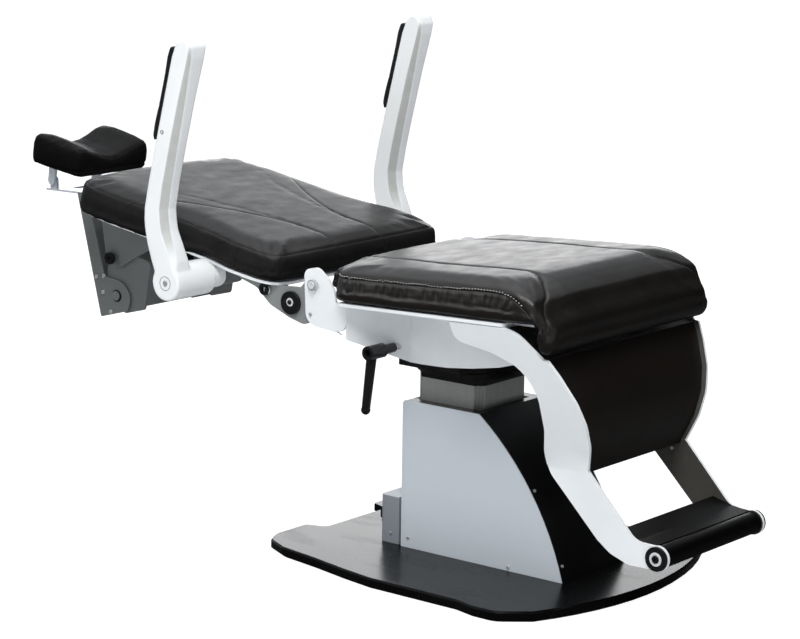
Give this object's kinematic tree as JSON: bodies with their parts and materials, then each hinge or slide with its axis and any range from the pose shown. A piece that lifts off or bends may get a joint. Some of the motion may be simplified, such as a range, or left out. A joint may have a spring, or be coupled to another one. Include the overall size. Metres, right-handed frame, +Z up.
{
  "type": "ophthalmic examination chair",
  "caption": "Reclining examination chair on a lift column with swivel seat, reclining back, folding armrests, jointed headrest and fixed foot bar.",
  "frame": {"origin": "on the floor, under the vertical axis of the lift column", "axes": "+Z up, the sitter faces -Y with the feet towards -Y and the head towards +Y, +X is the sitter's left"},
  "size_m": [0.712, 1.5981, 0.9574],
  "materials": {
    "white_paint": "smooth satin powder coat",
    "silver_paint": "fine silver lacquer",
    "black_paint": "satin black powder coat",
    "grey_paint": "satin grey powder coat",
    "white_casting": "white painted aluminium casting",
    "anodised": "clear anodised extrusion",
    "steel": "bright zinc",
    "bronze": "sintered bearing bronze",
    "leather": "grained black upholstery leather",
    "rubber": "matt black",
    "black_plastic": "fine grained black nylon",
    "pale_plastic": "natural acetal",
    "black_panel": "black vinyl covered sheet"
  },
  "bodies": {
    "base": {"base_mat": "rubber", "base_plate": "black_paint", "pedestal_side_right": "silver_paint", "pedestal_side_left": "silver_paint", "pedestal_front": "black_paint", "pedestal_rear": "silver_paint", "pedestal_top": "silver_paint", "column_foot": "steel", "column_outer": "anodised", "glide_pads": "pale_plastic", "lift_motor": "steel", "lift_spindle": "steel", "power_box": "silver_paint", "power_inlet": "black_plastic", "cover_screws": "steel"},
    "mains_switch": {"power_switch": "black_plastic"},
    "column": {"column_inner": "anodised", "lift_nut": "bronze", "column_top_plate": "black_paint", "swivel_base_ring": "black_paint", "thrust_washer": "bronze"},
    "seat": {"swivel_ring": "black_paint", "swivel_bush": "bronze", "turntable_plate": "white_paint", "frame_side_right": "white_paint", "frame_side_left": "white_paint", "frame_front_beam": "white_paint", "frame_rear_beam": "white_paint", "brake_block": "grey_paint", "seat_pan": "white_paint", "seat_cushion": "leather", "foot_arm_right": "white_paint", "foot_arm_left": "white_paint", "leg_panel": "black_panel", "foot_plate": "black_paint", "foot_tube": "rubber", "foot_caps": "black_plastic", "recline_pins": "steel", "frame_screws": "steel"},
    "lock_lever": {"lock_lever": "black_plastic", "lock_stud": "steel"},
    "backrest": {"back_pan": "white_paint", "back_bracket_right": "grey_paint", "back_bracket_left": "grey_paint", "recline_washers": "bronze", "recline_buffers": "black_plastic", "back_cushion": "leather", "arm_mounts": "grey_paint", "arm_axles": "steel", "head_ribs": "grey_paint"},
    "armrest_right": {"armrest_right": "white_casting", "arm_pad_right": "leather"},
    "armrest_left": {"armrest_left": "white_casting", "arm_pad_left": "leather"},
    "headrest_link": {"headrest_link": "grey_paint"},
    "headrest_arm": {"headrest_arm": "grey_paint", "headrest_bar": "steel"},
    "headrest": {"headrest_bracket": "steel", "headrest_cushion": "leather"}
  },
  "joints": [
    {"name": "mains_switch_rock", "type": "hinge", "parent": "base", "child": "mains_switch", "pos_m": [0.0803, 0.133, 0.0758], "axis": [1, 0, 0], "range_deg": [0, 10]},
    {"name": "column_lift", "type": "slide", "parent": "base", "child": "column", "axis": [0, 0, 1], "range_m": [0, 0.16]},
    {"name": "seat_swivel", "type": "hinge", "parent": "column", "child": "seat", "pos_m": [0, 0, 0.37], "axis": [0, 0, 1], "continuous": true},
    {"name": "lock_lever_turn", "type": "hinge", "parent": "seat", "child": "lock_lever", "pos_m": [-0.2, 0.045, 0.415], "axis": [1, 0, 0], "range_deg": [0, 60]},
    {"name": "back_recline", "type": "hinge", "parent": "seat", "child": "backrest", "pos_m": [0, 0.187, 0.519], "axis": [1, 0, 0], "range_deg": [0, 72]},
    {"name": "armrest_right_fold", "type": "hinge", "parent": "backrest", "child": "armrest_right", "pos_m": [-0.3, 0.44024, 0.50545], "axis": [1, 0, 0], "range_deg": [-95, 0]},
    {"name": "armrest_left_fold", "type": "hinge", "parent": "backrest", "child": "armrest_left", "pos_m": [0.3, 0.44024, 0.50545], "axis": [1, 0, 0], "range_deg": [-95, 0]},
    {"name": "headrest_link_turn", "type": "hinge", "parent": "backrest", "child": "headrest_link", "pos_m": [0, 0.79023, 0.48191], "axis": [1, 0, 0], "range_deg": [-30, 0]},
    {"name": "headrest_arm_turn", "type": "hinge", "parent": "headrest_link", "child": "headrest_arm", "pos_m": [0, 0.78091, 0.40652], "axis": [1, 0, 0], "range_deg": [-60, 0]},
    {"name": "headrest_tilt", "type": "hinge", "parent": "headrest_arm", "child": "headrest", "pos_m": [0, 1.02789, 0.60369], "axis": [1, 0, 0], "range_deg": [-30, 12]}
  ]
}
